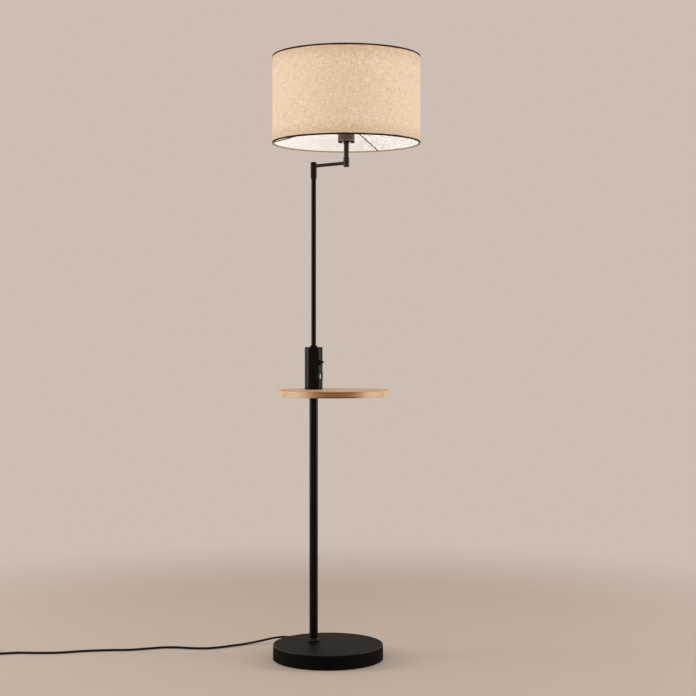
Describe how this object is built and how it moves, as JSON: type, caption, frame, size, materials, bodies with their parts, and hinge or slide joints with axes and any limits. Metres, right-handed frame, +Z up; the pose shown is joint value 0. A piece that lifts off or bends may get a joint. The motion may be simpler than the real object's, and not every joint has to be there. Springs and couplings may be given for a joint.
{
  "type": "floor lamp with side table",
  "caption": "Floor lamp: round weighted base, pole through a round side table, housing with toggle switch and USB socket, swing arm and drum shade.",
  "frame": {"origin": "centre of the base disc on the floor", "axes": "+Z up; -Y is the lamp's front, where the switch and the USB socket face and the arm points; +X is on the right for someone who looks at the lamp's front, along +Y"},
  "size_m": [0.8953, 1.0718, 1.6],
  "materials": {
    "black_coat": "satin black powder coat",
    "cup_coat": "satin brown-black coat",
    "cast_iron": "rough casting",
    "foam": "fine-celled foam",
    "zinc": "zinc plated",
    "steel": "turned",
    "wood": "clear lacquered oak veneer",
    "black_plastic": "moulded",
    "white_plastic": "moulded",
    "lever_chrome": "polished",
    "board": "circuit board",
    "brass": "plain",
    "linen": "plain weave with slubs",
    "lining": "smooth white",
    "tape": "woven edging tape",
    "wire_grey": "satin grey coat",
    "opal": "opal",
    "nickel": "plated",
    "cord_black": "smooth sheath",
    "lead_white": "smooth sheath"
  },
  "bodies": {
    "stand": {"base_cover": "black_coat", "base_weight": "cast_iron", "base_pad": "foam", "base_nipple": "zinc", "base_washer": "zinc", "base_nut": "zinc", "foot_flange": "black_coat", "lower_pole": "black_coat", "lower_pole_plugs": "steel", "table_plate": "black_coat", "table_screws": "zinc", "table_top": "wood", "table_nipple": "zinc", "table_nut": "zinc", "housing_tube": "black_coat", "housing_floor": "steel", "housing_lid": "black_coat", "toggle_body": "black_plastic", "toggle_pin": "nickel", "toggle_nut": "black_plastic", "usb_bezel": "black_plastic", "usb_shell": "nickel", "usb_tongue": "white_plastic", "usb_module": "board", "housing_nipple": "zinc", "housing_nut": "zinc", "pole_collar": "black_coat", "upper_pole": "black_coat", "upper_foot_plug": "steel", "pivot_plug": "steel", "thrust_washer": "white_plastic", "cord_gland": "black_plastic", "stand_lead": "cord_black", "upper_lead": "lead_white", "cord_run": "cord_black", "cord_coil": "cord_black", "plug_body": "black_plastic", "plug_pins": "nickel"},
    "arm": {"pole_sleeve": "black_coat", "stop_screw": "steel", "swing_arm": "black_coat", "end_sleeve": "black_coat", "stem": "black_coat", "stem_nipple": "zinc", "holder_cup": "cup_coat", "holder_nut": "zinc", "holder_shell": "black_plastic", "holder_contacts": "brass", "shade_ring_nut": "black_plastic", "shade_spider": "wire_grey", "shade_top_ring": "wire_grey", "shade_liner": "lining", "shade_fabric": "linen", "shade_tapes": "tape", "bulb_cap": "nickel", "bulb_body": "white_plastic", "bulb_globe": "opal", "head_lead": "lead_white"},
    "switch_lever": {"toggle_lever": "lever_chrome"}
  },
  "joints": [
    {"name": "arm_swivel", "type": "hinge", "parent": "stand", "child": "arm", "pos_m": [0, 0.052, 1.303], "axis": [0, 0, 1], "range_deg": [-150, 150]},
    {"name": "switch_toggle", "type": "hinge", "parent": "stand", "child": "switch_lever", "pos_m": [0, 0.029, 0.7905], "axis": [1, 0, 0], "range_deg": [0, 18]}
  ]
}
